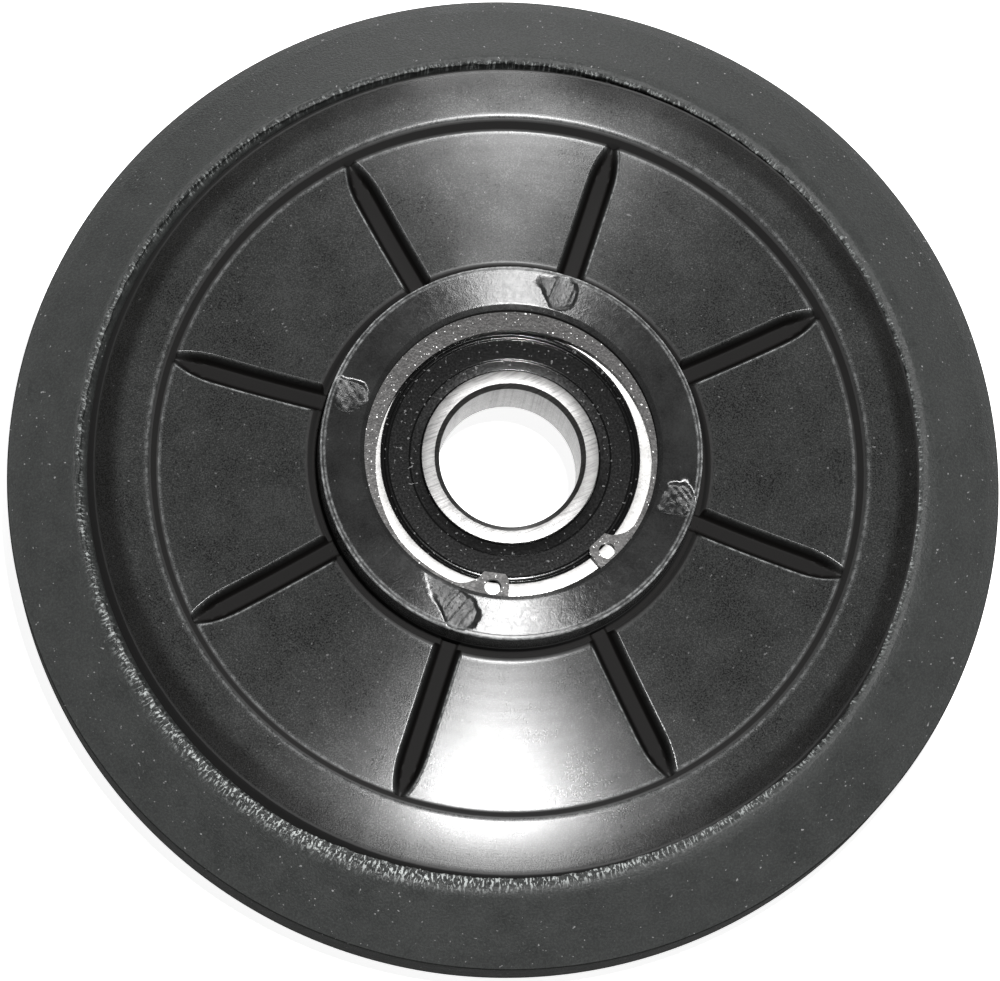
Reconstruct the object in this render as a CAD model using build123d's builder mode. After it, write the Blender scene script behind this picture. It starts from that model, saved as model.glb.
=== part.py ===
"""Rubber-tyred track idler wheel on a sealed ball bearing, as separate pieces.

The wheel lies flat. Its spin axis is Z, the side with the snap ring faces +Z, and the
origin is the centre of the bearing's bore. All sizes are in millimetres.
"""
from build123d import *
import math
import os

os.makedirs("parts", exist_ok=True)

# ---------------------------------------------------------------- driving dimensions
# Bearing: 25 x 52 x 15, nine balls.
bore_radius = 12.5
bearing_radius = 26.0
bearing_width = 15.0
ring_chamfer = 0.85
ball_radius = 3.969
ball_count = 9
pitch_radius = 19.25
race_clearance = 0.03
race_profile_radius = 4.13
inner_land_radius = 17.2
inner_seal_land_radius = 15.65
outer_land_radius = 21.6
outer_face_radius = 22.85
seal_groove_radius = 23.9

# Seals: rubber face outside, steel insert inside.
seal_recess = 0.5
seal_rubber_thickness = 0.7
seal_insert_thickness = 0.35
seal_insert_inner_radius = 17.0
seal_lip_gap = 0.05
seal_lip_slope = (0.6, 0.3)
seal_lip_bevel = (0.5, 0.4)
seal_to_step_gap = 0.25

# Ball cage: two pressed halves held by rivets.
cage_inner_radius = 17.75
cage_outer_radius = 20.75
cage_sheet = 0.6
cage_pocket_gap = 0.12
rivet_radius = 0.5
rivet_head_radius = 0.85
rivet_head_height = 0.35

# Snap ring: an internal ring with eccentric bore and two lugs.
snap_thickness = 2.0
snap_outer_radius = 27.3
snap_end_width = 2.3
snap_bore_radius = 24.4
snap_bore_shift = 2.0
snap_axis_angle = 288.5
snap_half_gap_angle = 19.4
lug_angle = 26.1
lug_hole_radius = 1.45
lug_hole_centre_radius = 24.0
lug_end_radius = 21.5
lug_end_half_width = 1.85
lug_root = (22.5, 2.4)
lug_flare_middle = (23.6, 3.9)
lug_flare_end = (24.1, 6.6)
lug_outer_radius = 26.3
snap_groove_radius = 27.5
snap_groove_width = 2.15

# Hub of the wheel body.
hub_face = 12.0
hub_radius = 33.6
hub_base_radius = 34.1
hub_edge = 0.4
hub_bore_chamfer = 0.5
hub_rear = -10.6
hub_rear_radius = 31.0
hub_root_radius = 33.0
rear_shoulder_radius = 23.6
gutter_floor = 2.5
gutter_outer_radius = 34.9

# Web: eight dished panels, parted by radial grooves.
panel_inner_radius = 35.4
panel_inner_height = 5.5
panel_middle_radius = 48.4
panel_middle_height = 2.1
panel_outer_radius = 62.0
panel_outer_height = 0.5
web_thickness = 5.0
panel_count = 8
groove_angle = 72.3
groove_top_width = 5.2
groove_floor_width = 2.6
groove_depth = 3.4
groove_flare = 1.0

# A groove's floor follows the panels, then rises to the ridge at its outer end.
groove_start = (34.4, 2.3)
groove_middle = (45.4, -0.6)
groove_turn = (55.5, -2.3)
groove_end = (63.3, 1.4)

# Rim: a raised ridge, then a rounded channel that falls away to the rubber.
ridge_radius = 63.9
ridge_height = 3.7
channel_middle_radius = 68.5
channel_middle_height = 3.0
channel_outer_radius = 73.2
channel_outer_height = 1.7
rim_radius = 80.0
rim_bevel = 2.0
rim_front = -2.7
rim_shoulder_height = -5.5
rim_rear = -19.0
rim_inner_radius = 73.0
rim_root_radius = 72.0
rim_root_height = -7.4

# Rubber tyre.
tyre_radius = 88.9
lip_radius = 74.5
lip_height = 1.5
lip_root_height = -1.7
lip_bevel = (0.7, 0.5)
tyre_face_radius = 86.6
tyre_face_height = -4.6
tread_front = -6.2
tread_rear = -18.2
tyre_rear = -20.0
tyre_rear_radius = 87.2

# Moulding marks on the hub's front face, where four injection gates were cut off.
gate_angles = (73.8, 161.0, 252.8, 343.6)
gate_centre_radius = 30.2
gate_mark_radius = 3.3
gate_mark_depth = 0.35

# Ribs behind the web. Each stands behind a groove, and deepens from the hub to the rim.
rib_width = 4.0
rib_rear = -15.0
rib_root = -2.2
rib_overlap = 1.0

half_width = bearing_width / 2
web_rear_outer = panel_outer_height - web_thickness
web_rear_middle = panel_middle_height - web_thickness
web_rear_inner = gutter_floor - web_thickness


def polar_point(radius, angle):
    """The point at a radius and an angle in degrees, in the XY plane."""
    turn = math.radians(angle)
    return (radius * math.cos(turn), radius * math.sin(turn))


def save(part, name):
    """Label a finished piece and write it as one STEP file."""
    part.label = name
    export_step(part, f"parts/{name}.step")


# ---------------------------------------------------------------- bearing rings
def race_cut(radius_offset):
    """A torus that cuts a raceway; the offset moves it off the ball by the running gap."""
    return Torus(pitch_radius + radius_offset, race_profile_radius, mode=Mode.PRIVATE)


race_shift = race_profile_radius - ball_radius - race_clearance
seal_floor = half_width - seal_recess - seal_rubber_thickness - seal_insert_thickness
inner_step = seal_floor - seal_to_step_gap

with BuildPart() as inner_ring:
    with BuildSketch(Plane.XZ):
        with BuildLine():
            Polyline(
                (bore_radius, half_width - ring_chamfer),
                (bore_radius + ring_chamfer, half_width),
                (inner_seal_land_radius, half_width),
                (inner_seal_land_radius, inner_step),
                (inner_land_radius, inner_step),
                (inner_land_radius, -inner_step),
                (inner_seal_land_radius, -inner_step),
                (inner_seal_land_radius, -half_width),
                (bore_radius + ring_chamfer, -half_width),
                (bore_radius, ring_chamfer - half_width),
                close=True,
            )
        make_face()
    revolve(axis=Axis.Z)
    add(race_cut(race_shift), mode=Mode.SUBTRACT)
save(inner_ring.part, "bearing_inner_ring")

with BuildPart() as outer_ring:
    with BuildSketch(Plane.XZ):
        with BuildLine():
            Polyline(
                (bearing_radius, half_width - ring_chamfer),
                (bearing_radius - ring_chamfer, half_width),
                (outer_face_radius, half_width),
                (outer_face_radius, half_width - seal_recess),
                (seal_groove_radius, half_width - seal_recess),
                (seal_groove_radius, seal_floor),
                (outer_land_radius, seal_floor),
                (outer_land_radius, -seal_floor),
                (seal_groove_radius, -seal_floor),
                (seal_groove_radius, seal_recess - half_width),
                (outer_face_radius, seal_recess - half_width),
                (outer_face_radius, -half_width),
                (bearing_radius - ring_chamfer, -half_width),
                (bearing_radius, ring_chamfer - half_width),
                close=True,
            )
        make_face()
    revolve(axis=Axis.Z)
    add(race_cut(-race_shift), mode=Mode.SUBTRACT)
save(outer_ring.part, "bearing_outer_ring")


# ---------------------------------------------------------------- seals
def seal_rubber(side):
    """The rubber face of a seal, with its lip. Side is 1 in front and -1 behind."""
    outside = side * (half_width - seal_recess)
    inside = side * (half_width - seal_recess - seal_rubber_thickness)
    lip = inner_seal_land_radius + seal_lip_gap
    lip_floor = side * seal_floor
    with BuildPart() as seal:
        with BuildSketch(Plane.XZ):
            with BuildLine():
                Polyline(
                    (lip, outside - side * seal_lip_slope[1]),
                    (lip + seal_lip_slope[0], outside),
                    (seal_groove_radius, outside),
                    (seal_groove_radius, inside),
                    (seal_insert_inner_radius, inside),
                    (seal_insert_inner_radius, lip_floor),
                    (lip + seal_lip_bevel[0], lip_floor),
                    (lip, lip_floor + side * seal_lip_bevel[1]),
                    close=True,
                )
            make_face()
        revolve(axis=Axis.Z)
    return seal.part


def seal_insert(side):
    """The steel washer that stiffens a seal, behind its rubber face."""
    with BuildPart() as insert:
        with BuildSketch(Plane.XY.offset(side * seal_floor)):
            Circle(seal_groove_radius)
            Circle(seal_insert_inner_radius, mode=Mode.SUBTRACT)
        extrude(amount=side * seal_insert_thickness)
    return insert.part


for side_name, side in (("front", 1), ("rear", -1)):
    save(seal_rubber(side), f"{side_name}_seal_lip")
    save(seal_insert(side), f"{side_name}_seal_insert")

# ---------------------------------------------------------------- balls and cage
ball_step = 360 / ball_count
ball_centres = [polar_point(pitch_radius, ball_step * index) for index in range(ball_count)]
rivet_centres = [polar_point(pitch_radius, ball_step * (index + 0.5)) for index in range(ball_count)]

for number, centre in enumerate(ball_centres, start=1):
    with BuildPart() as ball:
        with Locations(centre):
            Sphere(ball_radius)
    save(ball.part, f"ball_{number}")


def cage_half(side):
    """Half of the ribbon cage: flat between the balls and domed over each of them."""
    pocket = ball_radius + cage_pocket_gap
    dome = pocket + cage_sheet
    with BuildPart() as half:
        with Locations([(x, y, 0) for x, y in ball_centres]):
            Sphere(dome)
        with BuildSketch():
            Circle(cage_outer_radius)
            Circle(cage_inner_radius, mode=Mode.SUBTRACT)
        extrude(amount=side * dome, mode=Mode.INTERSECT)
        with BuildSketch():
            Circle(cage_outer_radius)
            Circle(cage_inner_radius, mode=Mode.SUBTRACT)
        extrude(amount=side * cage_sheet)
        with Locations([(x, y, 0) for x, y in ball_centres]):
            Sphere(pocket, mode=Mode.SUBTRACT)
        with Locations([(x, y, 0) for x, y in rivet_centres]):
            Cylinder(rivet_radius, 4 * cage_sheet, mode=Mode.SUBTRACT)
    return half.part


save(cage_half(1), "cage_front_half")
save(cage_half(-1), "cage_rear_half")

with BuildPart() as cage_rivets:
    with Locations([(x, y, 0) for x, y in rivet_centres]):
        Cylinder(rivet_radius, 2 * cage_sheet)
    for face in (cage_sheet, -cage_sheet - rivet_head_height):
        with BuildSketch(Plane.XY.offset(face)):
            with Locations(rivet_centres):
                Circle(rivet_head_radius)
        extrude(amount=rivet_head_height)
save(cage_rivets.part, "cage_rivets")

# ---------------------------------------------------------------- snap ring
gap_reach = 2 * snap_outer_radius
lug_side_angle = lug_angle - snap_half_gap_angle

with BuildSketch() as lug:
    with BuildLine():
        Polyline(
            lug_flare_end,
            (lug_outer_radius, lug_flare_end[1]),
            polar_point(lug_outer_radius, -lug_side_angle),
            polar_point(lug_root[0], -lug_side_angle),
            (lug_end_radius, -lug_end_half_width),
            (lug_end_radius, lug_end_half_width),
            lug_root,
        )
        ThreePointArc(lug_root, lug_flare_middle, lug_flare_end)
    make_face()
mirrored_lug = mirror(lug.sketch, about=Plane.XZ)

with BuildSketch() as snap_bore:
    Circle(snap_outer_radius - snap_end_width)
    with Locations(polar_point(snap_bore_shift, snap_axis_angle)):
        Circle(snap_bore_radius, mode=Mode.INTERSECT)

with BuildPart() as snap_ring:
    with BuildSketch(Plane.XY.offset(half_width)):
        Circle(snap_outer_radius)
        add(snap_bore.sketch, mode=Mode.SUBTRACT)
        with BuildLine():
            Polyline(
                (0, 0),
                polar_point(gap_reach, snap_axis_angle - snap_half_gap_angle),
                polar_point(gap_reach, snap_axis_angle + snap_half_gap_angle),
                close=True,
            )
        make_face(mode=Mode.SUBTRACT)
        for side, outline in ((1, lug.sketch), (-1, mirrored_lug)):
            angle = snap_axis_angle + side * lug_angle
            add(outline.rotate(Axis.Z, angle))
            with Locations(polar_point(lug_hole_centre_radius, angle)):
                Circle(lug_hole_radius, mode=Mode.SUBTRACT)
    extrude(amount=snap_thickness)
save(snap_ring.part, "snap_ring")

# ---------------------------------------------------------------- wheel body
snap_groove_top = half_width + snap_groove_width

with BuildPart() as groove:
    with BuildLine(Plane.XZ) as groove_path:
        run = ThreePointArc(groove_start, groove_middle, groove_turn)
        TangentArc(run @ 1, groove_end, tangent=run % 1)
    with BuildSketch(Plane(origin=run @ 0, x_dir=(0, 1, 0), z_dir=run % 0)):
        with BuildLine():
            Polyline(
                (-groove_floor_width / 2, 0),
                (groove_floor_width / 2, 0),
                (groove_top_width / 2, groove_depth),
                (groove_top_width / 2 + groove_flare, 2 * groove_depth),
                (-groove_top_width / 2 - groove_flare, 2 * groove_depth),
                (-groove_top_width / 2, groove_depth),
                close=True,
            )
        make_face()
    sweep(path=groove_path.wires()[0])

with BuildPart() as rib:
    with BuildSketch(Plane.XZ):
        with BuildLine():
            Polyline(
                (hub_rear_radius - rib_overlap, hub_rear),
                (rim_inner_radius + rib_overlap, rib_rear),
                (rim_inner_radius + rib_overlap, rib_root),
                (hub_rear_radius - rib_overlap, rib_root),
                close=True,
            )
        make_face()
    extrude(amount=rib_width / 2, both=True)

with BuildPart() as wheel_body:
    with BuildSketch(Plane.XZ):
        with BuildLine():
            Polyline(
                (rim_inner_radius, rim_rear),
                (rim_root_radius, rim_root_height),
                (ridge_radius, web_rear_outer),
                (panel_outer_radius, web_rear_outer),
            )
            ThreePointArc(
                (panel_outer_radius, web_rear_outer),
                (panel_middle_radius, web_rear_middle),
                (hub_root_radius, web_rear_inner),
            )
            Polyline(
                (hub_root_radius, web_rear_inner),
                (hub_rear_radius, hub_rear),
                (rear_shoulder_radius, hub_rear),
                (rear_shoulder_radius, -half_width),
                (bearing_radius, -half_width),
                (bearing_radius, half_width),
                (snap_groove_radius, half_width),
                (snap_groove_radius, snap_groove_top),
                (bearing_radius, snap_groove_top),
                (bearing_radius, hub_face - hub_bore_chamfer),
                (bearing_radius + hub_bore_chamfer, hub_face),
                (hub_radius - hub_edge, hub_face),
                (hub_radius, hub_face - hub_edge),
                (hub_base_radius, gutter_floor),
                (gutter_outer_radius, gutter_floor),
                (panel_inner_radius, panel_inner_height),
            )
            ThreePointArc(
                (panel_inner_radius, panel_inner_height),
                (panel_middle_radius, panel_middle_height),
                (panel_outer_radius, panel_outer_height),
            )
            Line((panel_outer_radius, panel_outer_height), (ridge_radius, ridge_height))
            ThreePointArc(
                (ridge_radius, ridge_height),
                (channel_middle_radius, channel_middle_height),
                (channel_outer_radius, channel_outer_height),
            )
            Polyline(
                (channel_outer_radius, channel_outer_height),
                (lip_radius, lip_root_height),
                (rim_radius - rim_bevel, rim_front),
                (rim_radius, rim_shoulder_height),
                (rim_radius, rim_rear + rim_bevel),
                (rim_radius - rim_bevel, rim_rear),
                (rim_inner_radius, rim_rear),
            )
        make_face()
    revolve(axis=Axis.Z)
    with PolarLocations(0, panel_count, start_angle=groove_angle):
        add(rib.part)
    with PolarLocations(0, panel_count, start_angle=groove_angle):
        add(groove.part, mode=Mode.SUBTRACT)
    with BuildSketch(Plane.XY.offset(hub_face - gate_mark_depth)):
        with Locations([polar_point(gate_centre_radius, angle) for angle in gate_angles]):
            Circle(gate_mark_radius)
    extrude(amount=2 * gate_mark_depth, mode=Mode.SUBTRACT)
save(wheel_body.part, "wheel_body")

# ---------------------------------------------------------------- tyre
with BuildPart() as rubber_tyre:
    with BuildSketch(Plane.XZ):
        with BuildLine():
            Polyline(
                (lip_radius, lip_root_height),
                (lip_radius, lip_height - lip_bevel[1]),
                (lip_radius + lip_bevel[0], lip_height),
                (tyre_face_radius, tyre_face_height),
                (tyre_radius, tread_front),
                (tyre_radius, tread_rear),
                (tyre_rear_radius, tyre_rear),
                (rim_radius - rim_bevel, tyre_rear),
                (rim_radius - rim_bevel, rim_rear),
                (rim_radius, rim_rear + rim_bevel),
                (rim_radius, rim_shoulder_height),
                (rim_radius - rim_bevel, rim_front),
                close=True,
            )
        make_face()
    revolve(axis=Axis.Z)
save(rubber_tyre.part, "rubber_tyre")
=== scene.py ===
"""Looks of the track idler wheel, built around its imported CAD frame.

Lengths of the wheel are in millimetres in the CAD's frame, and a mesh is scaled to metres when it is made.
Materials, camera and lights are in metres. The wheel lies flat. +Z is its spin axis, towards the snap ring.
"""
import math

import bpy
import numpy as np
from mathutils import Matrix, Vector


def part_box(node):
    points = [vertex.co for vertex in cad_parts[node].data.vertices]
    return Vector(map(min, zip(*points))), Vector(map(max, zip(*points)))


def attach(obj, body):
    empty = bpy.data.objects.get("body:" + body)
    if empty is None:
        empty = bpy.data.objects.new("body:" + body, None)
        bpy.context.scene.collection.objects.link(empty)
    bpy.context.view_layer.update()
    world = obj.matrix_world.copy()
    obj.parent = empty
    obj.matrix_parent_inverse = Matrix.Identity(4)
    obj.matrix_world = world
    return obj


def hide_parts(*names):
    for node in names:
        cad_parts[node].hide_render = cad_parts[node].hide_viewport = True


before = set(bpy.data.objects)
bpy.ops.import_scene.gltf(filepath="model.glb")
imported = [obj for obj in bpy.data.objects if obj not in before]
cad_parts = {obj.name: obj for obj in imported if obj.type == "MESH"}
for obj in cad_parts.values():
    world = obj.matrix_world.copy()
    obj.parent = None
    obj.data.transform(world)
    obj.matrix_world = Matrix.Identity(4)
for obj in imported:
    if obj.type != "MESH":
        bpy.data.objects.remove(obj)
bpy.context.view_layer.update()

MM = 0.001


def mm_box(node):
    """A CAD node's lowest and highest corners, in millimetres."""
    low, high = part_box(node)
    return low / MM, high / MM


# ---------------------------------------------------------------- sizes
TYRE_RADIUS = mm_box("rubber_tyre")[1].x
TYRE_REAR = mm_box("rubber_tyre")[0].z
LIP_HEIGHT = mm_box("rubber_tyre")[1].z
RIM_RADIUS = mm_box("wheel_body")[1].x
RIM_REAR = mm_box("wheel_body")[0].z
HUB_FACE = mm_box("wheel_body")[1].z
BEARING_RADIUS = mm_box("bearing_outer_ring")[1].x
BEARING_FACE = mm_box("bearing_outer_ring")[1].z

BORE_RADIUS = 12.5
SEAL_LAND_RADIUS = 15.65
SEAL_OUTER_RADIUS = 23.9
RACE_FACE_RADIUS = 22.85
RACE_CHAMFER = 0.85
SEAL_SINK = 0.5
SEAL_THICKNESS = 0.7
SEAL_STEP_RADIUS = 17.0
# Radius and half height of the shoulders inside the rings, which the balls' space lies between.
INNER_SHOULDER = (17.2, 5.7)
OUTER_SHOULDER = (21.6, 5.95)
SNAP_GROOVE_DEPTH = 1.5
SNAP_GROOVE_TOP = 2.15
REAR_SHOULDER_RADIUS = 23.6

HUB_RADIUS = 33.6
HUB_BASE_RADIUS = 34.1
LIP_BORE_RADIUS = 25.8
HUB_REAR = -10.6
HUB_REAR_RADIUS = 31.0
GUTTER_FLOOR = 2.5
PANEL_INNER = (35.4, 5.5)
PANEL_MIDDLE = (48.4, 2.1)
PANEL_OUTER = (62.0, 0.5)
RIDGE = (63.9, 3.7)
CHANNEL_MIDDLE = (68.5, 3.0)
CHANNEL_OUTER = (73.2, 1.7)
RIM_ROOT = (72.0, -7.4)
LIP_RADIUS = 74.5
LIP_ROOT = -1.7
WEB_THICKNESS = 5.0
RIM_INNER_RADIUS = 73.0
RIM_CHAMFER = 2.0
RIM_SHOULDER = -5.5
TREAD_TOP = -6.2
TREAD_BOTTOM = -18.0
TYRE_FRONT_EDGE = (86.6, -4.6)
TYRE_REAR_CHAMFER = 1.7

PANELS = 8
GROOVE_ANGLE = 72.3
GROOVE_DEPTH = 3.4
GROOVE_TOP = 5.2
GROOVE_BOTTOM = 2.6
# A groove's outer end narrows over this length.
GROOVE_POINT = 8.0
GROOVE_END_NARROWING = 1.45
GROOVE_FILLET = 0.12
RIB_WIDTH = 4.0
RIB_REAR = -15.0

GATE_CENTRE = 30.2
GATE_RADIUS = 3.2
GATE_DEPTH = 0.35
# Each gate mark's angle, and its tail's direction and length.
GATES = ((73.8, 145.0, 3.6), (161.0, 123.0, 3.0), (252.8, 128.0, 8.0), (343.6, 205.0, 3.2))

# The torn lip is off centre by the first length, and reaches in by the second at the bottom.
LIP_OFF_CENTRE = 1.2
LIP_REACH = 0.9
LIP_WAVINESS = 0.22
GATE_SEED, LIP_SEED = 5, 7
# Of the web, the front lies above this height.
WEB_FRONT = -2.0

# Spacing of the meshes' rows, and how many columns go round the axis.
FINE_STEP = 0.3
LIP_STEP = 0.37
GROOVE_STEP = 0.5
REAR_STEP = 2.0
FACE_STEP = 2.5
HIDDEN_STEP = 8.0
RING_COLUMNS = 256
TYRE_COLUMNS = 1200


# ---------------------------------------------------------------- mesh helpers
def make_object(name, vertices, faces, body, replaced, sharp, fields):
    """A mesh object from vertices in millimetres, riding on a body. Fields are values per vertex."""
    mesh = bpy.data.meshes.new(name)
    mesh.from_pydata((np.asarray(vertices) * MM).tolist(), [], faces)
    for field, values in fields.items():
        stored = mesh.attributes.new(field, "FLOAT", "POINT")
        stored.data.foreach_set("value", np.ravel(values).astype(np.float32))
    mesh.validate()
    mesh.shade_smooth()
    mesh.set_sharp_from_angle(angle=math.radians(sharp))
    piece = bpy.data.objects.new(name, mesh)
    bpy.context.scene.collection.objects.link(piece)
    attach(piece, body)
    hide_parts(*replaced)
    return piece


def ring_faces(profile, columns):
    """Outward quads of a closed profile turned round the axis, for vertices stored row by row."""
    rows = len(profile)
    faces = []
    for row in range(rows):
        here = row * columns
        there = ((row + 1) % rows) * columns
        for column in range(columns):
            after = (column + 1) % columns
            faces.append((here + column, here + after, there + after, there + column))
    if runs_anticlockwise(profile):
        faces = [face[::-1] for face in faces]
    return faces


def runs_anticlockwise(profile):
    r, z = np.array(profile).T
    return np.sum(r * np.roll(z, -1) - np.roll(r, -1) * z) > 0


def arc_between(start, middle, end, count):
    """Points on the circle through three profile points."""
    (ax, ay), (bx, by), (cx, cy) = start, middle, end
    d = 2 * (ax * (by - cy) + bx * (cy - ay) + cx * (ay - by))
    a2, b2, c2 = ax * ax + ay * ay, bx * bx + by * by, cx * cx + cy * cy
    centre = np.array([
        (a2 * (by - cy) + b2 * (cy - ay) + c2 * (ay - by)) / d,
        (a2 * (cx - bx) + b2 * (ax - cx) + c2 * (bx - ax)) / d,
    ])
    first, last = np.array(start) - centre, np.array(end) - centre
    angles = np.unwrap([math.atan2(first[1], first[0]), math.atan2(last[1], last[0])])
    turn = np.linspace(angles[0], angles[1], count)
    radius = np.linalg.norm(first)
    return [tuple(centre + radius * np.array([math.cos(t), math.sin(t)])) for t in turn]


# Two arcs at the ends of one side share it, so each takes a little less than half.
MOST_OF_SIDE = 0.49


def rounded(corners, steps=4):
    """A closed profile whose corners (r, z, radius) are turned into arcs."""
    points = []
    count = len(corners)
    for index, (x, y, radius) in enumerate(corners):
        here = np.array([x, y])
        before = np.array(corners[index - 1][:2]) - here
        after = np.array(corners[(index + 1) % count][:2]) - here
        if radius <= 0:
            points.append((x, y))
            continue
        len_before, len_after = np.linalg.norm(before), np.linalg.norm(after)
        before, after = before / len_before, after / len_after
        half = math.acos(np.clip(before @ after, -1, 1)) / 2
        reach = min(radius / math.tan(half), MOST_OF_SIDE * len_before, MOST_OF_SIDE * len_after)
        bisector = (before + after) / np.linalg.norm(before + after)
        centre = here + bisector * reach / math.cos(half)
        start, end = here + before * reach - centre, here + after * reach - centre
        angles = np.unwrap([math.atan2(start[1], start[0]), math.atan2(end[1], end[0])])
        for turn in np.linspace(angles[0], angles[1], steps):
            size = np.linalg.norm(start)
            points.append((centre[0] + size * math.cos(turn), centre[1] + size * math.sin(turn)))
    return points


def filled(points, step):
    """A closed profile with no gap longer than a step, which is a function of the gap's two ends."""
    out = []
    for index, here in enumerate(points):
        there = points[(index + 1) % len(points)]
        parts = max(1, math.ceil(math.dist(here, there) / step(here, there)))
        for part in range(parts):
            share = part / parts
            out.append((here[0] + (there[0] - here[0]) * share, here[1] + (there[1] - here[1]) * share))
    return out


def spun(name, profile, columns, body, replaced, change=None, sharp=35, fields=None):
    """A closed profile turned round the Z axis. Change takes and gives the points' r, angle and z."""
    rows = np.array(profile)
    turn = np.linspace(0, 2 * math.pi, columns, endpoint=False)
    radius = np.repeat(rows[:, :1], columns, axis=1)
    height = np.repeat(rows[:, 1:], columns, axis=1)
    angle = np.repeat(turn[None, :], len(rows), axis=0)
    if change:
        radius, angle, height = change(radius, angle, height)
    points = np.stack([radius * np.cos(angle), radius * np.sin(angle), height], axis=-1).reshape(-1, 3)
    named = {field: made(radius, angle, height) for field, made in (fields or {}).items()}
    return make_object(name, points, ring_faces(profile, columns), body, replaced, sharp, named)


def smooth_min(a, b, width):
    """The smaller of two fields, with the corner between them rounded over a width."""
    mix = np.clip(0.5 + 0.5 * (b - a) / width, 0, 1)
    return b + (a - b) * mix - width * mix * (1 - mix)


def smooth_step(value, low, high):
    """0 below low, 1 above high, and a smooth climb between them."""
    share = np.clip((value - low) / (high - low), 0, 1)
    return share * share * (3 - 2 * share)


def waves(angle, low, high, count, source):
    """A wavy function of an angle or a length, about 1 high, from sines of random phase."""
    total = np.zeros_like(angle)
    for frequency in source.integers(low, high, count):
        total += np.sin(frequency * angle + source.uniform(0, 2 * math.pi))
    return total / math.sqrt(count)


# ---------------------------------------------------------------- wheel body
def front_arc(count):
    return arc_between(PANEL_INNER, PANEL_MIDDLE, PANEL_OUTER, count)


def rear_arc(count):
    start = (PANEL_OUTER[0], PANEL_OUTER[1] - WEB_THICKNESS)
    middle = (PANEL_MIDDLE[0], PANEL_MIDDLE[1] - WEB_THICKNESS)
    end = (HUB_REAR_RADIUS + 2, GUTTER_FLOOR - WEB_THICKNESS)
    return arc_between(start, middle, end, count)


def channel_arc(count):
    return arc_between(RIDGE, CHANNEL_MIDDLE, CHANNEL_OUTER, count)


def rim_section():
    """Where the tyre is bonded to the rim, from the front to the rear."""
    return [
        (RIM_RADIUS - RIM_CHAMFER, LIP_ROOT - 1), (RIM_RADIUS, RIM_SHOULDER),
        (RIM_RADIUS, RIM_REAR + RIM_CHAMFER), (RIM_RADIUS - RIM_CHAMFER, RIM_REAR),
    ]


def body_profile():
    """The wheel body's section, from the rear shoulder in the hub, forwards and outwards."""
    groove_radius, groove_z = BEARING_RADIUS + SNAP_GROOVE_DEPTH, BEARING_FACE + SNAP_GROOVE_TOP
    corners = [
        (REAR_SHOULDER_RADIUS, HUB_REAR, 0.3), (REAR_SHOULDER_RADIUS, -BEARING_FACE, 0),
        (BEARING_RADIUS, -BEARING_FACE, 0), (BEARING_RADIUS, BEARING_FACE, 0),
        (groove_radius, BEARING_FACE, 0), (groove_radius, groove_z, 0), (LIP_BORE_RADIUS, groove_z, 0),
        (LIP_BORE_RADIUS, HUB_FACE - 0.9, 0.3), (LIP_BORE_RADIUS + 0.8, HUB_FACE, 0.25),
        (HUB_RADIUS - 0.75, HUB_FACE, 0.1), (HUB_RADIUS - 0.6, HUB_FACE - 0.12, 0.05),
        (HUB_RADIUS - 0.15, HUB_FACE - 0.2, 0.15), (HUB_RADIUS, HUB_FACE - 0.6, 0.2),
        (HUB_BASE_RADIUS, GUTTER_FLOOR, 0.35), (PANEL_INNER[0] - 0.5, GUTTER_FLOOR, 0.3),
        (*PANEL_INNER, 0.9),
    ]
    corners += [(*point, 0) for point in front_arc(12)[1:-1]]
    corners += [(*PANEL_OUTER, 0.3), (*RIDGE, 0.7)]
    corners += [(*point, 0) for point in channel_arc(12)[1:-1]]
    corners += [
        (*CHANNEL_OUTER, 1.6), (LIP_RADIUS, LIP_ROOT, 0), *[(*point, 0) for point in rim_section()],
        (RIM_INNER_RADIUS, RIM_REAR, 0.6), (*RIM_ROOT, 1.5),
        (RIDGE[0], PANEL_OUTER[1] - WEB_THICKNESS, 1.5),
    ]
    corners += [(*point, 0) for point in rear_arc(10)[:-1]]
    corners += [(HUB_REAR_RADIUS + 2, GUTTER_FLOOR - WEB_THICKNESS, 1.2), (HUB_REAR_RADIUS, HUB_REAR, 0.5)]
    return rounded(corners)


def body_step(here, there):
    """Row spacing of the wheel body: fine on the front, where the grooves are, and coarse elsewhere."""
    (least_r, lowest), (most_r, _) = np.minimum(here, there), np.maximum(here, there)
    if lowest > HUB_FACE - 0.5:
        return FINE_STEP
    if lowest > -3 and least_r > HUB_RADIUS - 0.6 and most_r < RIDGE[0] + 1.1 and here[1] > -2.4:
        return GROOVE_STEP
    hidden = most_r < HUB_REAR_RADIUS - 1 or least_r > RIM_INNER_RADIUS + 1
    return HIDDEN_STEP if hidden else REAR_STEP


def body_columns():
    """Where a sector's columns stand: distances from the near groove, and shares of the middle."""
    near = np.concatenate([np.arange(0, 1.2, 0.3), np.arange(1.2, 3.0, 0.15), np.arange(3.0, 4.6, 0.4)])
    middle = np.linspace(0, 1, 15)[1:-1]
    return near, middle


def body_angles(radius):
    """Angles of all columns for each row radius. Close to a groove they run parallel to its walls."""
    near, middle = body_columns()
    sector = 2 * math.pi / PANELS
    offsets = np.arcsin(near[None, :] / radius[:, None])
    edge = offsets[:, -1:]
    centre = edge + (sector - 2 * edge) * middle[None, :]
    one = np.concatenate([offsets, centre, sector - offsets[:, :0:-1]], axis=1)
    start = math.radians(GROOVE_ANGLE)
    return np.concatenate([start + sector * index + one for index in range(PANELS)], axis=1)


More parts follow.
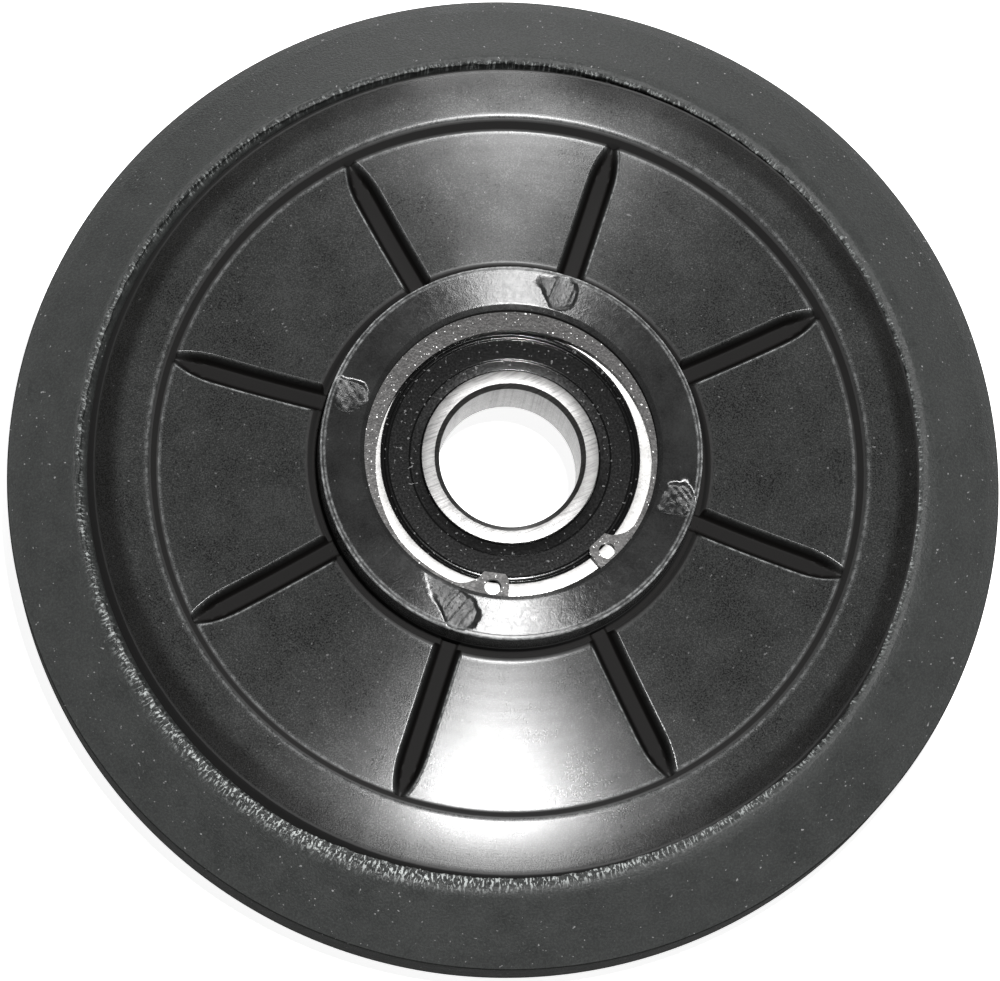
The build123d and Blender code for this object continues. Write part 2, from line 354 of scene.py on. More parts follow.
def groove_narrowing(radius):
    """How much of a groove's half width is gone near its pointed outer end."""
    along_point = np.clip((radius - (PANEL_OUTER[0] - GROOVE_POINT)) / GROOVE_POINT, 0, 1.1)
    return GROOVE_END_NARROWING * along_point ** 2.4


def panel_height(radius):
    """Height of the panels' front surface at a radius."""
    r, z = np.array(front_arc(60)).T
    return np.interp(radius, r, z)


def groove_cavity(radius, across):
    """Height of a groove's floor and walls. Its end is a pointed arch, and its floor rises there."""
    end = smooth_step(radius, PANEL_OUTER[0] - 3.5, PANEL_OUTER[0] + 0.8)
    narrowing = groove_narrowing(radius)
    half_floor = GROOVE_BOTTOM / 2 - 0.75 * narrowing
    half_top = GROOVE_TOP / 2 - 0.15 - narrowing
    climb = np.clip((across - half_floor) / (half_top - half_floor), 0, 4)
    fillet = GROOVE_FILLET * smooth_step(climb, -0.2, 0.25)
    return panel_height(radius) - GROOVE_DEPTH * (1 - 0.6 * end) * (1 - climb + fillet - GROOVE_FILLET)


def body_recess(radius, height):
    """How deep a point lies in the recesses other than the grooves, from 0 to 1. It sets where shade is
    painted.
    """
    panel_start = 1 - smooth_step(radius, PANEL_INNER[0] + 0.2, PANEL_INNER[0] + 1.0)
    panel_start = panel_start * (radius > PANEL_INNER[0] - 0.6) * (height > WEB_FRONT)
    gutter = smooth_step(radius, HUB_RADIUS + 0.1, HUB_BASE_RADIUS - 0.1) * (radius < PANEL_INNER[0] + 0.4)
    gutter = gutter * (1 - smooth_step(height, PANEL_INNER[1] - 0.9, PANEL_INNER[1] + 0.1))
    gutter = np.maximum(gutter, panel_start)
    step = smooth_step(radius, PANEL_OUTER[0] - 0.1, PANEL_OUTER[0] + 0.3) * (radius < RIDGE[0] - 0.1)
    step = step * (1 - smooth_step(height, RIDGE[1] - 1.1, RIDGE[1] - 0.3))
    gap = smooth_step(radius, CHANNEL_OUTER[0] - 0.3, CHANNEL_OUTER[0] + 0.3) * (height > -6)
    bore = (radius < BEARING_RADIUS + SNAP_GROOVE_DEPTH + 0.2) & (height < HUB_FACE - 0.95)
    return np.maximum.reduce([gutter, step, gap, bore.astype(float)])


def gate_marks(x, y):
    """Where the runners were cut off the hub: how much a point lies in a mark, and how deep its cut is."""
    source = np.random.default_rng(GATE_SEED)
    inside, depth = np.zeros_like(x), np.zeros_like(x)
    for place, tail_turn, tail in GATES:
        turn, lean = math.radians(place), math.radians(tail_turn)
        gx, gy = x - GATE_CENTRE * math.cos(turn), y - GATE_CENTRE * math.sin(turn)
        along = gx * math.cos(lean) + gy * math.sin(lean)
        side = gy * math.cos(lean) - gx * math.sin(lean)
        share = np.clip(along / tail, 0, 1)
        edge = GATE_RADIUS * (1 - 0.75 * share) + 0.14 * waves(np.arctan2(side, along), 2, 9, 5, source)
        mark = 1 - smooth_step(np.hypot(along - share * tail, side), edge - 0.3, edge + 0.1)
        ragged = 0.022 * waves(along + 0.2 * side, 3, 9, 6, source) + 0.015 * waves(side, 2, 7, 5, source)
        dish = GATE_DEPTH * (0.75 - 0.5 * share + 0.06 * side)
        depth += mark * np.clip(dish + ragged, 0.02, 2 * GATE_DEPTH)
        inside = np.maximum(inside, mark)
    return inside, depth


def edge_wear_and_highlight(radius, height, across, faces_top_light):
    """Pale lines on corners: hub rim, groove edges, the panels' outer ends and the ridge. They are painted
    highlights, patchy like wear, and on the groove edges the side facing the top light is paler.
    """
    def line(value, place, width):
        return np.exp(-(((value - place) / width) ** 2))

    hub = np.maximum(line(radius, HUB_RADIUS - 0.1, 0.2), 0.6 * line(radius, HUB_RADIUS - 0.72, 0.12))
    hub = hub * (height > HUB_FACE - 0.7)
    ridge = line(radius, RIDGE[0] + 0.1, 0.3) * (height > RIDGE[1] - 0.7) * (radius < RIDGE[0] + 1)
    on_panel = smooth_step(radius, PANEL_INNER[0] + 0.8, PANEL_INNER[0] + 1.6)
    on_panel = on_panel * (radius < PANEL_OUTER[0] + 0.3) * (height > -1.5)
    banks = line(across, GROOVE_TOP / 2 - 0.05 - groove_narrowing(radius), 0.14) * on_panel * faces_top_light
    ends = line(radius, PANEL_OUTER[0] - 0.1, 0.18) * (height > -1.5) * (across > 1.2)
    return np.maximum.reduce([hub, 0.25 * ridge, 0.7 * banks, 0.3 * ends])


def wheel_body():
    """The moulded body, and for each face a 1 where it lies deep in a recess, which takes the painted-shade
    copy of the plastic.
    """
    profile = np.array(filled(body_profile(), body_step))
    radius, height = profile[:, 0], profile[:, 1]
    angle = body_angles(radius)
    columns = angle.shape[1]
    rr = np.repeat(radius[:, None], columns, axis=1)
    zz = np.repeat(height[:, None], columns, axis=1)
    sector = 2 * math.pi / PANELS
    to_groove = (angle - math.radians(GROOVE_ANGLE) + sector / 2) % sector - sector / 2
    across = np.abs(rr * np.sin(to_groove))

    front = (rr > HUB_BASE_RADIUS - 0.1) & (rr < PANEL_OUTER[0] + 0.35) & (zz > WEB_FRONT)
    carved = smooth_min(zz, groove_cavity(rr, across), 0.5)
    carved = np.where(front, np.minimum(carved, zz), zz)
    # How deep a point lies in a groove, which sets where shade is painted.
    cut = np.clip((zz - carved - 0.25) / 1.6, 0, 1)
    zz = carved

    behind = (rr > HUB_REAR_RADIUS) & (rr < RIM_INNER_RADIUS + 0.5) & (height[:, None] < WEB_FRONT)
    behind = behind & (zz > RIB_REAR)
    share = np.clip((rr - HUB_REAR_RADIUS) / (RIM_INNER_RADIUS - HUB_REAR_RADIUS), 0, 1)
    rib_bottom = HUB_REAR + share * (RIB_REAR - HUB_REAR)
    on_rib = 1 - smooth_step(across, RIB_WIDTH / 2 - 0.1, RIB_WIDTH / 2 + 0.2)
    rib = np.minimum(zz, zz + (rib_bottom - zz) * on_rib)
    zz = np.where(behind, rib, zz)

    x, y = rr * np.cos(angle), rr * np.sin(angle)
    on_hub = (rr > LIP_BORE_RADIUS + 0.3) & (rr < HUB_RADIUS + 0.1) & (zz > HUB_FACE - 0.6)
    gates, cuts = gate_marks(x, y)
    zz = np.where(on_hub, zz - cuts, zz)

    # The plastic's nodes read these. The recess field and the field that darkens the channel towards the lip
    # set where shade is painted. The edge field sets pale corner lines, which are painted highlights, patchy
    # like wear.
    fields = {
        "recess": np.maximum(cut, body_recess(rr, zz)),
        "gate": np.where(on_hub, gates, 0),
        # The groove edges facing the top light get full strength and the others a tenth: a painted
        # highlight.
        "edge": edge_wear_and_highlight(rr, zz, across, 0.55 - 0.45 * np.sign(to_groove * np.cos(angle))),
        "painted_lip_shade": smooth_step(rr, CHANNEL_MIDDLE[0] - 0.3, CHANNEL_MIDDLE[0] + 2.1)
        * (rr < RIM_INNER_RADIUS + 2) * (zz > -6),
        "face": np.where((rr < HUB_RADIUS) & (zz > HUB_FACE - 1), 1.0, 0.0),
    }
    points = np.stack([x, y, zz], axis=-1).reshape(-1, 3)
    faces = ring_faces(profile, columns)
    piece = make_object("moulded_wheel", points, faces, "wheel", ["wheel_body"],
                        sharp=50, fields=fields)
    shade = fields["recess"].ravel()
    in_shade = np.array([shade[list(face)].min() > 0.8 for face in faces], dtype=np.int32)
    return piece, in_shade


# ---------------------------------------------------------------- tyre
def tyre_profile():
    corners = [
        (LIP_RADIUS, LIP_ROOT, 0), (LIP_RADIUS, LIP_HEIGHT - 0.2, 0.25),
        (LIP_RADIUS + 1.3, LIP_HEIGHT, 0.5),
        (*TYRE_FRONT_EDGE, 0.5), (TYRE_RADIUS, TREAD_TOP, 0.45), (TYRE_RADIUS, TREAD_BOTTOM, 0.5),
        (TYRE_RADIUS - TYRE_REAR_CHAMFER, TYRE_REAR, 0.8), (RIM_RADIUS - RIM_CHAMFER, TYRE_REAR, 0.3),
        *[(*point, 0) for point in reversed(rim_section())],
    ]
    return filled(rounded(corners), tyre_step)


def tyre_step(here, there):
    """Row spacing of the tyre: fine at the torn lip and coarse on the tread and behind."""
    if here[0] < LIP_RADIUS + 3 and here[1] > WEB_FRONT:
        return LIP_STEP
    return FACE_STEP if here[1] > TREAD_TOP - 0.3 else HIDDEN_STEP


def lip_shift(angle):
    """How far the lip lies outside its true circle. It sits to the left, and reaches in at the bottom."""
    from_bottom = np.mod(angle - math.radians(92), 2 * math.pi) - math.pi
    return -LIP_OFF_CENTRE * np.cos(angle) - LIP_REACH * np.exp(-((from_bottom / 0.5) ** 2))


def rough_lip(radius, angle, height):
    """The lip is torn and slightly off centre, as trimmed flash is. The rest of the tyre stays true."""
    source = np.random.default_rng(LIP_SEED)
    near_lip = 1 - smooth_step(radius, LIP_RADIUS + 0.4, LIP_RADIUS + 2.8)
    near_lip = near_lip * smooth_step(height, LIP_ROOT, LIP_HEIGHT - 1)
    off_centre = lip_shift(angle) + LIP_WAVINESS * waves(angle, 2, 9, 6, source)
    torn = 0.09 * waves(angle, 50, 130, 12, source) + 0.07 * waves(angle, 250, 600, 16, source)
    crumbs = 0.06 * waves(angle + 0.03 * radius, 150, 700, 20, source) * waves(angle, 8, 40, 6, source)
    radius = radius + near_lip * (off_centre + torn)
    height = height + near_lip * (crumbs - 0.1)
    return radius, angle, height


def torn_lip_and_glints(radius, angle, height):
    """Where the lip is torn, from 0 to 1: most on the lower left, as seen from the front. Its pale flecks
    are painted glints on the torn rubber.
    """
    lip = LIP_RADIUS + lip_shift(angle)
    spread = np.exp(-((np.mod(angle - math.radians(65), 2 * math.pi) - math.radians(185)) / 0.85) ** 2)
    band = np.exp(-(((radius - lip - 0.2 - 0.8 * spread) / (0.4 + 0.95 * spread)) ** 2)) * (height > -1.5)
    return band * (0.4 + 0.6 * spread)


# ---------------------------------------------------------------- bearing
def inner_ring_profile():
    face, chamfer = BEARING_FACE, RACE_CHAMFER
    shoulder, step = INNER_SHOULDER
    corners = [
        (BORE_RADIUS, face - chamfer, 0.15), (BORE_RADIUS + chamfer, face, 0.12),
        (SEAL_LAND_RADIUS, face, 0.1), (SEAL_LAND_RADIUS, step, 0),
        (shoulder, step, 0.1), (shoulder, -step, 0.1),
        (SEAL_LAND_RADIUS, -step, 0), (SEAL_LAND_RADIUS, -face, 0.1),
        (BORE_RADIUS + chamfer, -face, 0.12), (BORE_RADIUS, chamfer - face, 0.15),
    ]
    return rounded(corners)


def outer_ring_profile():
    face, chamfer, seat = BEARING_FACE, RACE_CHAMFER, BEARING_FACE - SEAL_SINK
    shoulder, floor = OUTER_SHOULDER
    corners = [
        (BEARING_RADIUS, face - chamfer, 0.2), (BEARING_RADIUS - chamfer, face, 0.2),
        (RACE_FACE_RADIUS, face, 0.1), (RACE_FACE_RADIUS, seat, 0),
        (SEAL_OUTER_RADIUS, seat, 0), (SEAL_OUTER_RADIUS, floor, 0),
        (shoulder, floor, 0.1), (shoulder, -floor, 0.1), (SEAL_OUTER_RADIUS, -floor, 0),
        (SEAL_OUTER_RADIUS, -seat, 0), (RACE_FACE_RADIUS, -seat, 0), (RACE_FACE_RADIUS, -face, 0.1),
        (BEARING_RADIUS - chamfer, -face, 0.2), (BEARING_RADIUS, chamfer - face, 0.2),
    ]
    return rounded(corners)


def seal_profile(side):
    """A seal's rubber: a flat outer band, a low step, and a thin inner band that ends at the lip."""
    top = side * (BEARING_FACE - SEAL_SINK)
    inner, underside = SEAL_LAND_RADIUS + 0.05, SEAL_THICKNESS + 0.35
    # Radius, depth below the top, and rounding.
    corners = [
        (inner, 0.45, 0.1), (inner + 0.25, 0.2, 0.1), (17.6, 0.2, 0.15), (17.9, 0.05, 0.15),
        (21.4, 0.14, 0.1), (21.75, 0, 0.2), (22.1, 0.05, 0.2), (22.3, 0.3, 0.1), (22.8, 0.1, 0.1),
        (SEAL_OUTER_RADIUS, 0, 0),
        (SEAL_OUTER_RADIUS, SEAL_THICKNESS, 0), (SEAL_STEP_RADIUS, SEAL_THICKNESS, 0),
        (SEAL_STEP_RADIUS, underside, 0), (inner + 0.5, underside, 0), (inner, SEAL_THICKNESS, 0),
    ]
    return rounded([(radius, top - side * depth, rounding) for radius, depth, rounding in corners])


# ---------------------------------------------------------------- materials
QUARTER_TURN = 0.25
PAINTED_SHADE_BLACK = (0.0062, 0.0056, 0.0053)
EDGE_WEAR_AND_HIGHLIGHT_GREY = (0.50, 0.51, 0.51)
DUST_GREY = (0.40, 0.40, 0.40)
FLECK_GLINT_GREY = (0.62, 0.65, 0.64)


def shader(name, roughness, metallic=0.0, specular=0.5, anisotropic=0.0):
    """A Principled material with its uniform values on the shader's own sockets."""
    material = bpy.data.materials.new(name)
    material.use_nodes = True
    principled = material.node_tree.nodes["Principled BSDF"]
    principled.inputs["Roughness"].default_value = roughness
    principled.inputs["Metallic"].default_value = metallic
    principled.inputs["Specular IOR Level"].default_value = specular
    principled.inputs["Anisotropic"].default_value = anisotropic
    principled.inputs["Anisotropic Rotation"].default_value = QUARTER_TURN
    return material, principled


class Graph:
    """Short names for adding nodes to one material. Noise scales are per metre, bump distances in metres."""

    def __init__(self, material):
        self.tree = material.node_tree
        self.position = self.add("ShaderNodeTexCoord").outputs["Object"]

    def add(self, kind, **settings):
        node = self.tree.nodes.new(kind)
        for key, value in settings.items():
            setattr(node, key, value)
        return node

    def link(self, source, target):
        self.tree.links.new(source, target)

    def noise(self, scale, detail=2.0, roughness=0.5, vector=None, distortion=0.0):
        node = self.add("ShaderNodeTexNoise")
        node.inputs["Scale"].default_value = scale
        node.inputs["Detail"].default_value = detail
        node.inputs["Roughness"].default_value = roughness
        node.inputs["Distortion"].default_value = distortion
        self.link(vector or self.position, node.inputs["Vector"])
        return node.outputs["Fac"]

    def ramp(self, value, low, high, low_out=0.0, high_out=1.0):
        node = self.add("ShaderNodeMapRange")
        ranges = {"From Min": low, "From Max": high, "To Min": low_out, "To Max": high_out}
        for key, number in ranges.items():
            node.inputs[key].default_value = number
        self.link(value, node.inputs["Value"])
        return node.outputs["Result"]

    def math(self, operation, first, second=None):
        node = self.add("ShaderNodeMath", operation=operation)
        for index, value in enumerate((first, second)):
            if value is None:
                continue
            if isinstance(value, (int, float)):
                node.inputs[index].default_value = value
            else:
                self.link(value, node.inputs[index])
        return node.outputs["Value"]

    def product(self, first, second):
        return self.math("MULTIPLY", first, second)

    def sum(self, first, second):
        return self.math("ADD", first, second)

    def mix(self, factor, first, second):
        node = self.add("ShaderNodeMix", data_type="RGBA")
        # The colour sockets A and B share their names with the other types' sockets, so they go by number.
        sockets = {0: factor, 6: first, 7: second}
        for index, value in sockets.items():
            socket = node.inputs[index]
            if isinstance(value, (int, float)):
                socket.default_value = value
            elif isinstance(value, tuple):
                socket.default_value = (*value, 1)
            else:
                self.link(value, socket)
        return node.outputs[2]

    def field(self, name):
        """A value stored on the mesh's vertices."""
        return self.add("ShaderNodeAttribute", attribute_name=name).outputs["Fac"]

    def place(self):
        """A point's x, y and z."""
        split = self.add("ShaderNodeSeparateXYZ")
        self.link(self.position, split.inputs[0])
        return split.outputs["X"], split.outputs["Y"], split.outputs["Z"]

    def polar(self):
        """A point's radius and angle, so that noise can follow the turning marks."""
        x, y, _ = self.place()
        radius = self.math("SQRT", self.sum(self.product(x, x), self.product(y, y)))
        return radius, self.math("ARCTAN2", y, x)

    def turned_noise(self, along_radius, along_turn, detail, roughness, height=0, distortion=0.0):
        """Noise stretched round the axis, from its scale along a radius and along a turn."""
        radius, turn = self.polar()
        vector = self.vector(self.product(radius, along_radius), self.product(turn, along_turn), height)
        return self.noise(1.0, detail, roughness, vector, distortion)

    def vector(self, x, y, z):
        node = self.add("ShaderNodeCombineXYZ")
        for index, value in enumerate((x, y, z)):
            if isinstance(value, (int, float)):
                node.inputs[index].default_value = value
            else:
                self.link(value, node.inputs[index])
        return node.outputs[0]

    def bump(self, height, strength, distance):
        node = self.add("ShaderNodeBump")
        node.inputs["Strength"].default_value = strength
        node.inputs["Distance"].default_value = distance
        self.link(height, node.inputs["Height"])
        return node.outputs["Normal"]

    def tangent(self, principled):
        node = self.add("ShaderNodeTangent", direction_type="RADIAL", axis="Z")
        self.link(node.outputs[0], principled.inputs["Tangent"])


def moulded_plastic(name, specular):
    """Black nylon: fine turned marks left by the mould, with scuffs, dust and a mottled gloss. Shade is
    painted into the recesses and towards the lip, and pale edge lines are painted highlights, patchy like
    wear.
    """
    material, principled = shader(name, roughness=0.25, specular=specular, anisotropic=1.0)
    graph = Graph(material)
    graph.tangent(principled)
    recess, gate, face, painted_lip_shade, edge = map(graph.field, ("recess", "gate", "face", "painted_lip_shade", "edge"))
    turned = graph.turned_noise(5200, 9, 3, 0.6)
    mottle = graph.noise(110, 5, 0.6)
    grain = graph.noise(3600, 2, 0.7)
    specks = graph.ramp(graph.noise(1500, 1, 0.4), 0.75, 0.78)
    scuffs = graph.noise(500, 4, 0.7, distortion=2.0)
    worn_and_lit_edge = graph.product(edge, graph.ramp(graph.noise(900, 3, 0.7), 0.42, 0.62, 0.25, 1.0))

    web_colour = graph.mix(graph.ramp(grain, 0.36, 0.66), (0.007, 0.0073, 0.0073), (0.046, 0.047, 0.046))
    hub_colour = graph.mix(graph.ramp(grain, 0.3, 0.75), (0.009, 0.009, 0.009), (0.022, 0.022, 0.022))
    cut_colour = graph.mix(graph.ramp(scuffs, 0.5, 0.75), (0.014, 0.0145, 0.0145), (0.10, 0.10, 0.10))
    colour = graph.mix(face, web_colour, hub_colour)
    colour = graph.mix(graph.ramp(mottle, 0.35, 0.75, 0.0, 0.30), colour, (0.070, 0.072, 0.071))
    colour = graph.mix(graph.product(specks, 0.30), colour, DUST_GREY)
    colour = graph.mix(gate, colour, cut_colour)
    # Painted highlight, patchy like wear: pale lines on the corners.
    colour = graph.mix(graph.product(worn_and_lit_edge, 0.9), colour, EDGE_WEAR_AND_HIGHLIGHT_GREY)
    # Painted shade: the channel darkens towards the lip.
    colour = graph.mix(graph.product(painted_lip_shade, 0.7), colour, (0.004, 0.0037, 0.0034))
    # Painted shade: the grooves, gutter, step, gap and bore are darkened to near black.
    colour = graph.mix(graph.product(recess, 0.97), colour, PAINTED_SHADE_BLACK)
    graph.link(colour, principled.inputs["Base Color"])

    rough = graph.sum(graph.ramp(mottle, 0.3, 0.7, 0.23, 0.275), graph.ramp(grain, 0.3, 0.7, -0.02, 0.03))
    rough = graph.sum(rough, graph.product(face, graph.ramp(scuffs, 0.35, 0.7, -0.03, 0.07)))
    for field, change in ((recess, 0.75), (gate, 0.12), (worn_and_lit_edge, 0.2)):
        rough = graph.sum(rough, graph.product(field, change))
    graph.link(rough, principled.inputs["Roughness"])

    surface = graph.sum(graph.product(turned, 0.7), graph.product(grain, 0.45))
    for field, height in ((gate, 4.0), (face, 0.8)):
        surface = graph.sum(surface, graph.product(graph.product(field, scuffs), height))
    graph.link(graph.bump(surface, 0.3, 0.00005), principled.inputs["Normal"])
    return material


def tyre_rubber(name, specular, tone, rougher):
    """Matte black rubber with fine grain, bloom, dust specks, and pale flecks on the torn lip that are
    painted glints.

    Tone is the share of the rubber's own colour over near black, and rougher is added to its roughness.
    """
    material, principled = shader(name, roughness=0.55, specular=specular, anisotropic=0.3)
    graph = Graph(material)
    graph.tangent(principled)
    torn = graph.field("torn")
    mottle = graph.noise(180, 5, 0.6)
    grain = graph.noise(2600, 3, 0.6)
    specks = graph.ramp(graph.noise(1500, 1, 0.4), 0.74, 0.79)
    flecks = graph.ramp(graph.turned_noise(950, 165, 2, 0.6, distortion=0.6), 0.53, 0.61)
    crumbs = graph.product(torn, graph.product(graph.noise(1000, 3, 0.6), 7.0))

    colour = graph.mix(graph.ramp(mottle, 0.3, 0.72), (0.019, 0.0205, 0.020), (0.028, 0.030, 0.029))
    colour = graph.mix(graph.ramp(grain, 0.4, 0.75, 0.0, 0.6), colour, (0.062, 0.065, 0.063))
    colour = graph.mix(graph.product(specks, 0.5), colour, (0.5, 0.5, 0.5))
    # Painted glints: pale flecks on the torn lip.
    colour = graph.mix(graph.product(torn, graph.product(flecks, 0.9)), colour, FLECK_GLINT_GREY)
    graph.link(graph.mix(tone, (0.004, 0.0038, 0.0036), colour), principled.inputs["Base Color"])

    matt = graph.ramp(mottle, 0.3, 0.7, 0.42 + rougher, 0.58 + rougher)
    glint = graph.product(torn, graph.ramp(graph.noise(900, 3, 0.6), 0.35, 0.6, 0.0, -0.28))
    graph.link(graph.sum(matt, glint), principled.inputs["Roughness"])
    graph.link(graph.bump(graph.sum(grain, crumbs), 0.9, 0.00014), principled.inputs["Normal"])
    return material


def ground_steel(name, base, smoothest, roughest, mark_scale, scratched=0.0):
    """Ground bearing steel with fine marks, small stains and straight grinding scratches."""
    material, principled = shader(name, roughness=0.3, metallic=1.0, anisotropic=0.4)
    graph = Graph(material)
    graph.tangent(principled)
    x, y, height = graph.place()
    marks = graph.turned_noise(mark_scale, 70, 2, 0.5, graph.product(height, mark_scale))
    stain = graph.noise(420, 3, 0.6)
    across = graph.math("SUBTRACT", y, graph.product(x, 0.45))
    lines = graph.vector(graph.product(x, 160), graph.product(across, 2600), 0)
    scratches = graph.noise(1.0, 3, 0.7, lines)

    stained = tuple(0.72 * channel for channel in base)
    cut = tuple(0.35 * channel for channel in base)
    colour = graph.mix(graph.ramp(stain, 0.35, 0.75), base, stained)
    colour = graph.mix(graph.product(graph.ramp(scratches, 0.45, 0.65), scratched), colour, cut)
    graph.link(colour, principled.inputs["Base Color"])
    graph.link(graph.ramp(marks, 0.25, 0.75, smoothest, roughest), principled.inputs["Roughness"])
    graph.link(graph.bump(marks, 0.25, 0.00004), principled.inputs["Normal"])
    return material


def phosphated_steel():
    """Dark grey snap ring steel with a crystalline speckle."""
    material, principled = shader("snap_ring_steel", roughness=0.5, metallic=0.6)
    graph = Graph(material)
    crystals = graph.noise(2600, 2, 0.6)
    mottle = graph.noise(700, 3, 0.6)
    colour = graph.mix(graph.ramp(crystals, 0.36, 0.70), (0.016, 0.0153, 0.015), (0.046, 0.0445, 0.0435))
    bright = graph.ramp(graph.noise(2100, 1, 0.4), 0.70, 0.74)
    colour = graph.mix(graph.product(bright, 0.8), colour, (0.7, 0.7, 0.69))
    graph.link(colour, principled.inputs["Base Color"])
    graph.link(graph.ramp(mottle, 0.3, 0.7, 0.34, 0.5), principled.inputs["Roughness"])
    graph.link(graph.bump(crystals, 0.5, 0.00006), principled.inputs["Normal"])
    return material


def seal_rubber():
    """Glossy black nitrile with a fine speckle and concentric moulding lines."""
    material, principled = shader("seal_rubber", roughness=0.14, specular=0.4)
    graph = Graph(material)
    rings = graph.turned_noise(3600, 3, 1, 0.5)
    grain = graph.noise(2600, 2, 0.6)
    dust = graph.ramp(graph.noise(1700, 1, 0.4), 0.70, 0.75)
    colour = graph.mix(graph.product(dust, 0.5), (0.005, 0.005, 0.005), (0.30, 0.30, 0.30))
    graph.link(colour, principled.inputs["Base Color"])
    graph.link(graph.ramp(grain, 0.3, 0.7, 0.11, 0.17), principled.inputs["Roughness"])
    surface = graph.sum(graph.product(rings, 0.3), grain)
    graph.link(graph.bump(surface, 0.15, 0.00003), principled.inputs["Normal"])
    return material


def floor_material():
    """A pale table lit from within, so that the wheel's shadow stays faint."""
    material, principled = shader("floor", roughness=0.8, specular=0.2)
    graph = Graph(material)
    cloud = graph.noise(3.0, 2, 0.5)
    graph.link(graph.mix(cloud, (0.86, 0.86, 0.86), (0.90, 0.90, 0.90)), principled.inputs["Base Color"])
    principled.inputs["Emission Color"].default_value = (1, 1, 1, 1)
    principled.inputs["Emission Strength"].default_value = FLOOR_GLOW
    return material


def paint(piece, material):
    piece.data.materials.clear()
    piece.data.materials.append(material)
    return piece


# ---------------------------------------------------------------- pieces
plastic = moulded_plastic("moulded_plastic", specular=0.45)
# A copy with less specular, for faces deep in the recesses: painted shade.
shaded_plastic = moulded_plastic("shaded_plastic", specular=0.22)
rubber = tyre_rubber("tyre_rubber", specular=0.38, tone=1.0, rougher=0.0)
# The tread's copy of the rubber is darker, as painted shade, with less specular and more roughness.
shaded_tread_rubber = tyre_rubber("shaded_tread_rubber", specular=0.05, tone=0.4, rougher=0.4)
race_steel = ground_steel("race_steel", (0.30, 0.297, 0.292), smoothest=0.30, roughest=0.48, mark_scale=2600)
scratched_steel = ground_steel("scratched_steel", (0.19, 0.188, 0.186), smoothest=0.30, roughest=0.48,
                               mark_scale=2600, scratched=0.75)
ball_steel = ground_steel("ball_steel", (0.82, 0.82, 0.82), smoothest=0.06, roughest=0.12, mark_scale=1500)
cage_steel = ground_steel("cage_steel", (0.55, 0.54, 0.52), smoothest=0.3, roughest=0.45, mark_scale=1200)
nitrile = seal_rubber()
phosphate = phosphated_steel()

moulding, in_shade = wheel_body()
paint(moulding, plastic)
# Faces deep in a recess take the copy with less specular, as painted shade.
moulding.data.materials.append(shaded_plastic)
moulding.data.polygons.foreach_set("material_index", in_shade)
tyre = spun("tyre", tyre_profile(), TYRE_COLUMNS, "wheel", ["rubber_tyre"],
            change=rough_lip, sharp=60, fields={"torn": torn_lip_and_glints})
paint(tyre, rubber)
# Faces on the tread take the darker copy of the rubber, as painted shade.
tyre.data.materials.append(shaded_tread_rubber)
for face in tyre.data.polygons:
    face.material_index = int(math.hypot(face.center.x, face.center.y) > (TYRE_RADIUS - 0.25) * MM)

inner_race = spun("inner_race", inner_ring_profile(), RING_COLUMNS, "inner_ring",
                  ["bearing_inner_ring"])
outer_race = spun("outer_race", outer_ring_profile(), RING_COLUMNS, "wheel",
                  ["bearing_outer_ring"])
paint(inner_race, scratched_steel)
paint(outer_race, race_steel)
for end, side in (("front", 1), ("rear", -1)):
    seal = spun(f"{end}_seal", seal_profile(side), RING_COLUMNS, "wheel",
                [f"{end}_seal_lip"])
    paint(seal, nitrile)

for node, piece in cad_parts.items():
    if node.startswith("ball_"):
        paint(piece, ball_steel)
    elif node.startswith("cage") or node.endswith("insert"):
        paint(piece, cage_steel)
    elif node == "snap_ring":
        paint(piece, phosphate)

# ---------------------------------------------------------------- stage, camera and lights
FLOOR_REACH = 3.0
# The floor lies just below the tyre, so that the two faces aren't in one plane.
FLOOR_GAP = 0.1
FLOOR_GLOW = 0.9
WORLD_STRENGTH = 0.04

LENS, SENSOR = 162.0, 36.0
TARGET = Vector((0, 0, BEARING_FACE * MM))
# How far the target lies right of and above the middle of the view, as tangents of those angles.
TARGET_RIGHT, TARGET_UP = 0.002311, 0.007533
CAMERA_DISTANCE = 0.792
CAMERA_SIDE, CAMERA_BACK = -0.057, -0.230


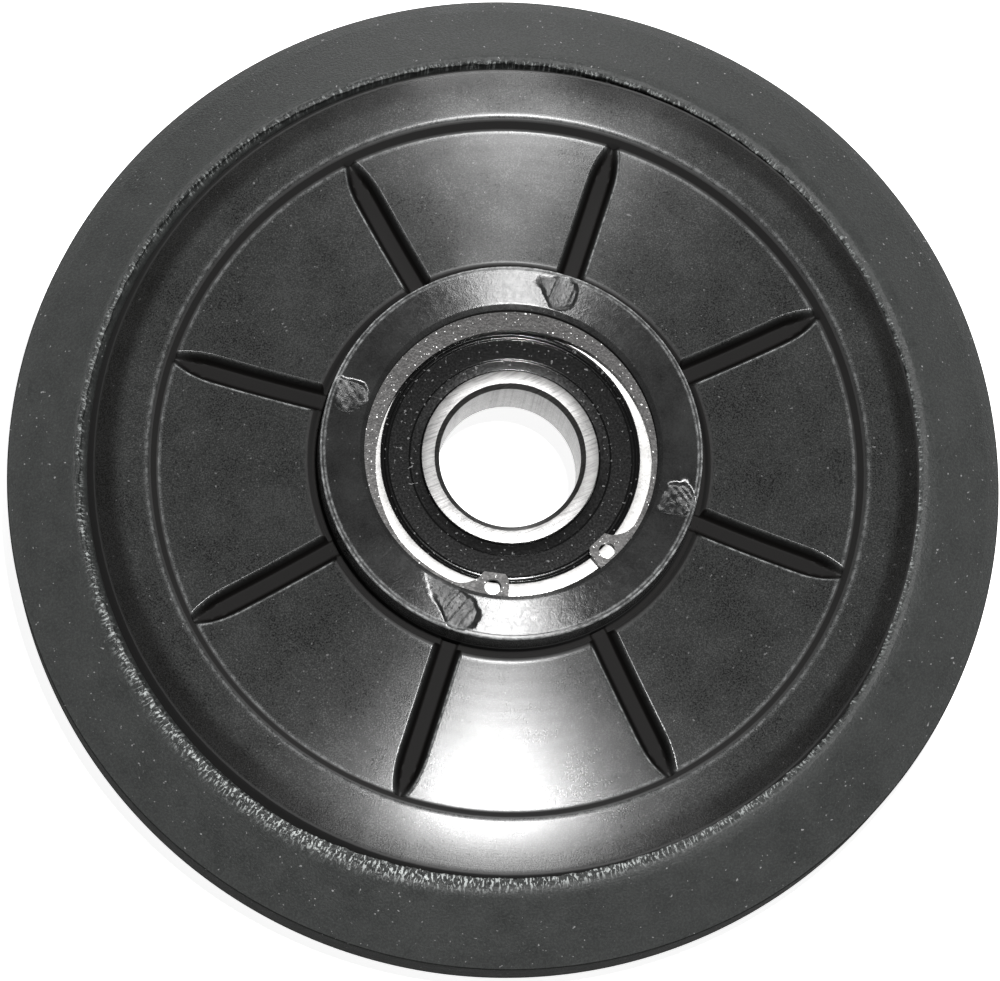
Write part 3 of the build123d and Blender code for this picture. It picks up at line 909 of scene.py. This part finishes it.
def make_floor():
    z = (TYRE_REAR - FLOOR_GAP) * MM
    corners = [(x * FLOOR_REACH, y * FLOOR_REACH, z) for x, y in ((-1, -1), (1, -1), (1, 1), (-1, 1))]
    mesh = bpy.data.meshes.new("floor")
    mesh.from_pydata(corners, [], [(0, 1, 2, 3)])
    floor = bpy.data.objects.new("floor", mesh)
    bpy.context.scene.collection.objects.link(floor)
    paint(floor, floor_material())


def place_camera():
    """Looks from slightly off the axis, with the bearing's face a little above and right of the middle."""
    data = bpy.data.cameras.new("camera")
    data.lens = LENS
    data.sensor_width = SENSOR
    data.sensor_fit = "HORIZONTAL"
    data.clip_start = 0.01
    camera = bpy.data.objects.new("camera", data)
    bpy.context.scene.collection.objects.link(camera)
    to_camera = Vector((CAMERA_SIDE, CAMERA_BACK, math.sqrt(1 - CAMERA_SIDE ** 2 - CAMERA_BACK ** 2)))
    camera_at = TARGET + to_camera * CAMERA_DISTANCE
    side = Vector((0, 1, 0)).cross(to_camera).normalized()
    facing = Matrix((side, to_camera.cross(side), to_camera)).transposed()
    to_target = Vector((TARGET_RIGHT, TARGET_UP, -1))
    off_centre = to_target.rotation_difference(Vector((0, 0, -1))).to_matrix()
    camera.matrix_world = Matrix.Translation(camera_at) @ (facing @ off_centre).to_4x4()
    bpy.context.scene.camera = camera


def area_light(name, position, target, size, power):
    data = bpy.data.lights.new(name, "AREA")
    data.energy = power
    data.size = size
    light = bpy.data.objects.new(name, data)
    light.location = position
    light.rotation_euler = (Vector(target) - Vector(position)).to_track_quat("-Z", "Y").to_euler()
    bpy.context.scene.collection.objects.link(light)


make_floor()
place_camera()
area_light("flash", (0.036, -0.010, 0.80), (0, 0, 0), size=0.03, power=8.5)
area_light("top_softbox", (0.0, 0.90, 0.32), (0, 0, 0.01), size=0.25, power=2.6)

world = bpy.data.worlds.new("studio")
world.use_nodes = True
world.node_tree.nodes["Background"].inputs["Color"].default_value = (1, 1, 1, 1)
world.node_tree.nodes["Background"].inputs["Strength"].default_value = WORLD_STRENGTH
bpy.context.scene.world = world
bpy.context.scene.view_settings.view_transform = "Standard"

bpy.context.view_layer.update()
